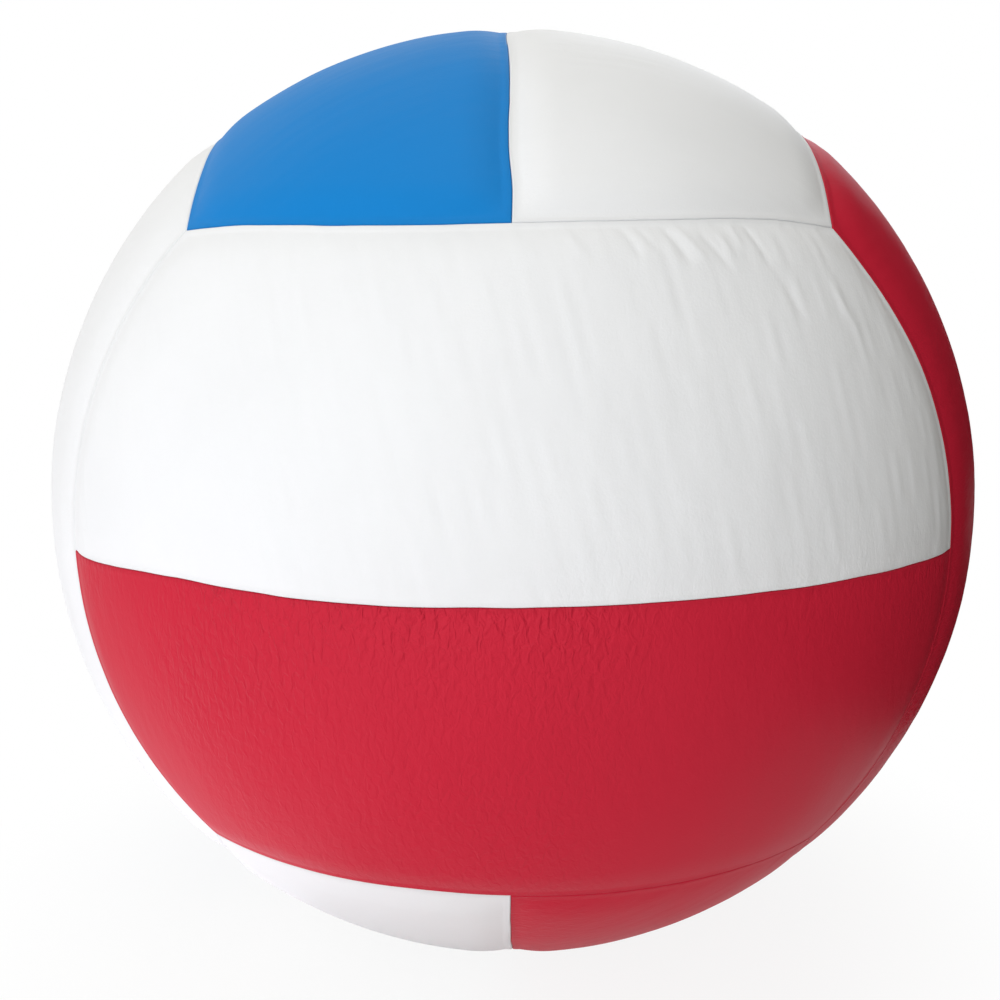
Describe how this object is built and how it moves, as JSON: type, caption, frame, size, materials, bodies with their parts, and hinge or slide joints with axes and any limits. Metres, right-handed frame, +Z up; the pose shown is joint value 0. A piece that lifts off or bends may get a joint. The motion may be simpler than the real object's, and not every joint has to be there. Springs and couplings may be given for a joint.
{
  "type": "volleyball",
  "caption": "Inflatable ball covered with glued strip panels of padded synthetic leather over a wound, vulcanised carcass and bladder, with a needle valve in one panel.",
  "frame": {"origin": "centre of the ball", "axes": "+Z up, -Y towards the front, where the middle seam of the face lies level along X; the valve is at the back"},
  "size_m": [0.2036, 0.2036, 0.2036],
  "materials": {
    "white_leather": "satin synthetic leather with fine crinkles, white",
    "red_leather": "satin synthetic leather with fine crinkles, red",
    "blue_leather": "satin synthetic leather with fine crinkles, blue",
    "backing_foam": "foam laminated to cloth, skived at the edges",
    "carcass_rubber": "vulcanised natural rubber",
    "winding_thread": "wound nylon thread",
    "bladder_rubber": "butyl rubber",
    "valve_rubber": "moulded rubber, matt",
    "core_rubber": "soft moulded rubber, satin"
  },
  "bodies": {
    "ball": {"panel_front_upper": "white_leather", "panel_front_lower": "red_leather", "panel_back_upper": "blue_leather", "panel_back_lower": "white_leather", "panel_right_front": "red_leather", "panel_right_back": "white_leather", "panel_left_front": "white_leather", "panel_left_back": "blue_leather", "panel_top_left": "blue_leather", "panel_top_right": "white_leather", "panel_bottom_left": "white_leather", "panel_bottom_right": "red_leather", "backing_front_upper": "backing_foam", "backing_front_lower": "backing_foam", "backing_back_upper": "backing_foam", "backing_back_lower": "backing_foam", "backing_right_front": "backing_foam", "backing_right_back": "backing_foam", "backing_left_front": "backing_foam", "backing_left_back": "backing_foam", "backing_top_left": "backing_foam", "backing_top_right": "backing_foam", "backing_bottom_left": "backing_foam", "backing_bottom_right": "backing_foam", "carcass": "carcass_rubber", "thread_winding": "winding_thread", "bladder": "bladder_rubber", "valve_housing": "valve_rubber"},
    "valve_core": {"valve_core": "core_rubber"}
  },
  "joints": [
    {"name": "core_draw", "type": "slide", "parent": "ball", "child": "valve_core", "axis": [0, 0.953, 0.3029], "range_m": [0, 0.014]}
  ]
}
